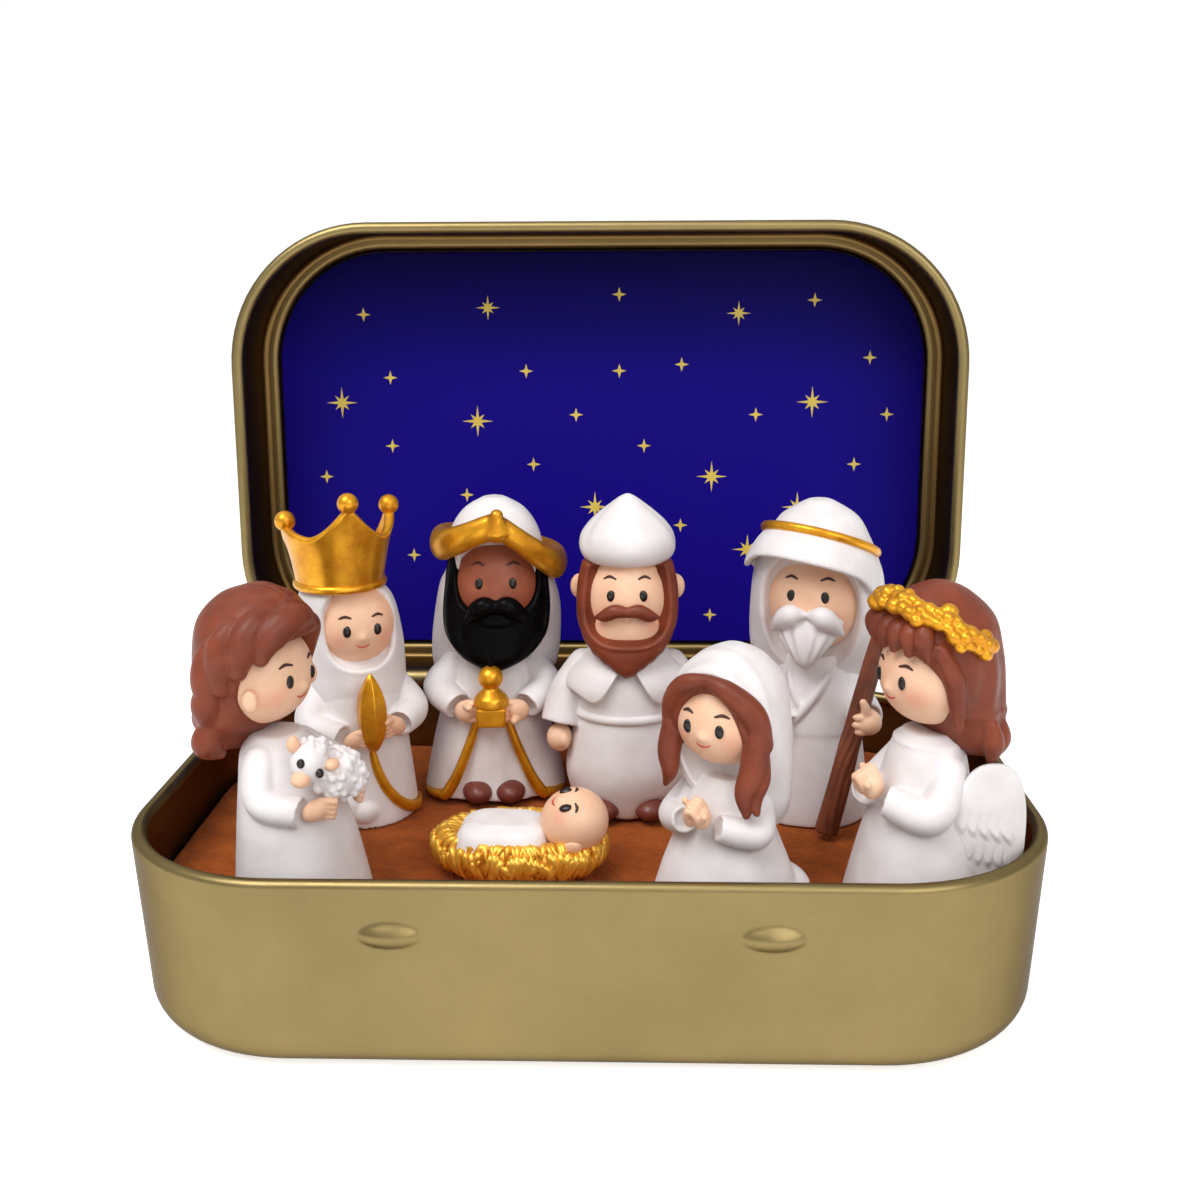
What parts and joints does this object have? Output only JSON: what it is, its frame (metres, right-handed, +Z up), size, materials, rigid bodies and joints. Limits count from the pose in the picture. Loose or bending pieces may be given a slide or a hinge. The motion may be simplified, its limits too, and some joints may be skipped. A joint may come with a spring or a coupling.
{
  "type": "nativity tin box",
  "caption": "Hinged gold tin with rounded corners, open, with a star-printed card in its lid and loose painted nativity figures on a brown floor insert.",
  "frame": {"origin": "middle of the tray's flat underside", "axes": "+X to the right along the tin, +Y towards the hinge, +Z up"},
  "size_m": [0.11, 0.0909, 0.0942],
  "materials": {
    "gold_tin": "gold-lacquered tinplate, satin",
    "night_print": "printed card with a light varnish",
    "brown_suede": "suede-like flock",
    "white_paint": "matt white paint",
    "skin_paint": "matt peach paint",
    "dark_skin_paint": "matt brown paint",
    "chestnut_paint": "satin red-brown paint",
    "black_paint": "gloss black paint",
    "gold_paint": "metallic gold paint",
    "shoe_paint": "satin brown paint",
    "staff_paint": "satin wood-brown paint"
  },
  "bodies": {
    "tray": {"tin_tray": "gold_tin", "floor_insert": "brown_suede"},
    "lid": {"tin_lid": "gold_tin", "star_card": "night_print"},
    "shepherd": {"shepherd_head": "skin_paint", "shepherd_lamb": "white_paint", "shepherd_hands": "skin_paint", "shepherd_hair": "chestnut_paint", "shepherd_robe": "white_paint"},
    "crowned_king": {"crowned_king_head": "skin_paint", "crowned_king_gift": "gold_paint", "crowned_king_hands": "skin_paint", "crowned_king_hood": "white_paint", "crowned_king_crown": "gold_paint", "crowned_king_robe": "white_paint"},
    "bearded_king": {"bearded_king_head": "dark_skin_paint", "bearded_king_urn": "gold_paint", "bearded_king_hand_left": "skin_paint", "bearded_king_hand_right": "skin_paint", "bearded_king_beard": "black_paint", "bearded_king_scarf": "white_paint", "bearded_king_band": "gold_paint", "bearded_king_shoes": "shoe_paint", "bearded_king_robe": "white_paint"},
    "keeper": {"keeper_head": "skin_paint", "keeper_turban": "white_paint", "keeper_beard": "chestnut_paint", "keeper_moustache": "chestnut_paint", "keeper_hand_left": "skin_paint", "keeper_hand_right": "skin_paint", "keeper_shoes": "shoe_paint", "keeper_tunic": "white_paint"},
    "mother": {"mother_head": "skin_paint", "mother_hair": "chestnut_paint", "mother_hands": "skin_paint", "mother_veil": "white_paint", "mother_robe": "white_paint"},
    "father": {"father_head": "skin_paint", "father_staff": "staff_paint", "father_hand": "skin_paint", "father_beard": "white_paint", "father_scarf": "white_paint", "father_ring": "gold_paint", "father_robe": "white_paint"},
    "angel": {"angel_head": "skin_paint", "angel_hands": "skin_paint", "angel_hair": "chestnut_paint", "angel_wreath": "gold_paint", "angel_wing_near": "white_paint", "angel_wing_far": "white_paint", "angel_gown": "white_paint"},
    "baby": {"baby_head": "skin_paint", "baby_swaddle": "white_paint", "straw_nest": "gold_paint"}
  },
  "joints": [
    {"name": "lid_hinge", "type": "hinge", "parent": "tray", "child": "lid", "pos_m": [0, 0.0341, 0.0252], "axis": [-1, 0, 0], "range_deg": [-48, 0]},
    {"name": "shepherd_lift", "type": "slide", "parent": "tray", "child": "shepherd", "axis": [0, 0, 1], "range_m": [0, 0.05]},
    {"name": "crowned_king_lift", "type": "slide", "parent": "tray", "child": "crowned_king", "axis": [0, 0, 1], "range_m": [0, 0.05]},
    {"name": "bearded_king_lift", "type": "slide", "parent": "tray", "child": "bearded_king", "axis": [0, 0, 1], "range_m": [0, 0.05]},
    {"name": "keeper_lift", "type": "slide", "parent": "tray", "child": "keeper", "axis": [0, 0, 1], "range_m": [0, 0.05]},
    {"name": "mother_lift", "type": "slide", "parent": "tray", "child": "mother", "axis": [0, 0, 1], "range_m": [0, 0.05]},
    {"name": "father_lift", "type": "slide", "parent": "tray", "child": "father", "axis": [0, 0, 1], "range_m": [0, 0.05]},
    {"name": "angel_lift", "type": "slide", "parent": "tray", "child": "angel", "axis": [0, 0, 1], "range_m": [0, 0.05]},
    {"name": "baby_lift", "type": "slide", "parent": "tray", "child": "baby", "axis": [0, 0, 1], "range_m": [0, 0.05]}
  ]
}
